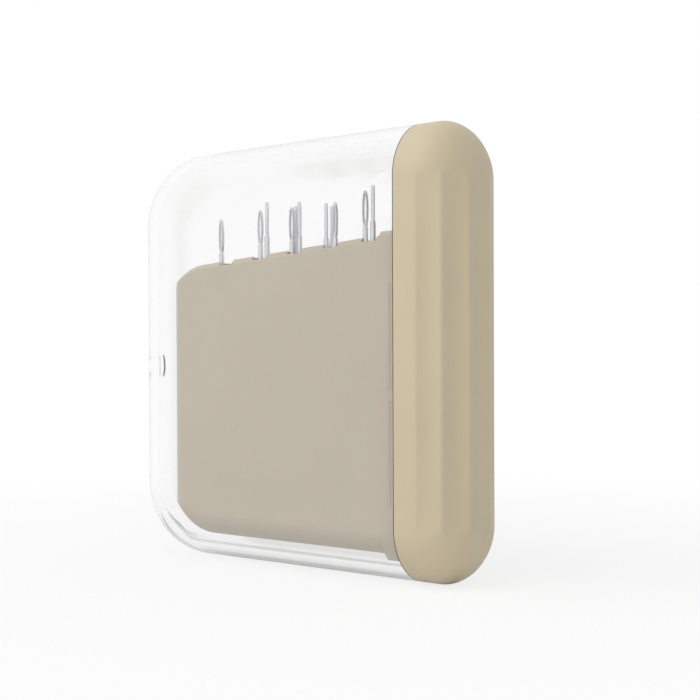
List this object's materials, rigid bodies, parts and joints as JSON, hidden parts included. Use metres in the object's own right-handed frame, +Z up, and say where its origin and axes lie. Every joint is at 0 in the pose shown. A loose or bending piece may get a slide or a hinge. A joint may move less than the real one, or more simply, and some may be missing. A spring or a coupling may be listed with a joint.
{
  "type": "needle box",
  "caption": "Slide-out needle box: a clear round-edged sleeve over a beige drawer with a fluted end cap and tall pockets of large-eye needles.",
  "frame": {"origin": "middle of the closed box's bottom", "axes": "+X from the sleeve's closed end to the end cap, -Y towards the front face, +Z up along the needles"},
  "size_m": [0.0607, 0.016, 0.062],
  "materials": {
    "clear_plastic": "gloss",
    "beige_plastic": "matte",
    "needle_steel": "polished"
  },
  "bodies": {
    "sleeve": {"clear_sleeve": "clear_plastic"},
    "drawer": {"end_cap": "beige_plastic", "cap_plate": "beige_plastic", "magazine_front": "beige_plastic", "magazine_back": "beige_plastic"},
    "needle_1": {"needle_1": "needle_steel"},
    "needle_2_front": {"needle_2_front": "needle_steel"},
    "needle_2_back": {"needle_2_back": "needle_steel"},
    "needle_3_front": {"needle_3_front": "needle_steel"},
    "needle_3_middle": {"needle_3_middle": "needle_steel"},
    "needle_3_back": {"needle_3_back": "needle_steel"},
    "needle_4_front": {"needle_4_front": "needle_steel"},
    "needle_4_middle": {"needle_4_middle": "needle_steel"},
    "needle_4_back": {"needle_4_back": "needle_steel"},
    "needle_5_front": {"needle_5_front": "needle_steel"},
    "needle_5_back": {"needle_5_back": "needle_steel"}
  },
  "joints": [
    {"name": "drawer_slide", "type": "slide", "parent": "sleeve", "child": "drawer", "axis": [1, 0, 0], "range_m": [0, 0.046]},
    {"name": "needle_1_lift", "type": "slide", "parent": "drawer", "child": "needle_1", "axis": [0, 0, 1], "range_m": [0, 0.0066]},
    {"name": "needle_2_front_lift", "type": "slide", "parent": "drawer", "child": "needle_2_front", "axis": [0, 0, 1], "range_m": [0, 0.0058]},
    {"name": "needle_2_back_lift", "type": "slide", "parent": "drawer", "child": "needle_2_back", "axis": [0, 0, 1], "range_m": [0, 0.0048]},
    {"name": "needle_3_front_lift", "type": "slide", "parent": "drawer", "child": "needle_3_front", "axis": [0, 0, 1], "range_m": [0, 0.0058]},
    {"name": "needle_3_middle_lift", "type": "slide", "parent": "drawer", "child": "needle_3_middle", "axis": [0, 0, 1], "range_m": [0, 0.0064]},
    {"name": "needle_3_back_lift", "type": "slide", "parent": "drawer", "child": "needle_3_back", "axis": [0, 0, 1], "range_m": [0, 0.0056]},
    {"name": "needle_4_front_lift", "type": "slide", "parent": "drawer", "child": "needle_4_front", "axis": [0, 0, 1], "range_m": [0, 0.0056]},
    {"name": "needle_4_middle_lift", "type": "slide", "parent": "drawer", "child": "needle_4_middle", "axis": [0, 0, 1], "range_m": [0, 0.007]},
    {"name": "needle_4_back_lift", "type": "slide", "parent": "drawer", "child": "needle_4_back", "axis": [0, 0, 1], "range_m": [0, 0.0058]},
    {"name": "needle_5_front_lift", "type": "slide", "parent": "drawer", "child": "needle_5_front", "axis": [0, 0, 1], "range_m": [0, 0.0046]},
    {"name": "needle_5_back_lift", "type": "slide", "parent": "drawer", "child": "needle_5_back", "axis": [0, 0, 1], "range_m": [0, 0.0042]}
  ]
}
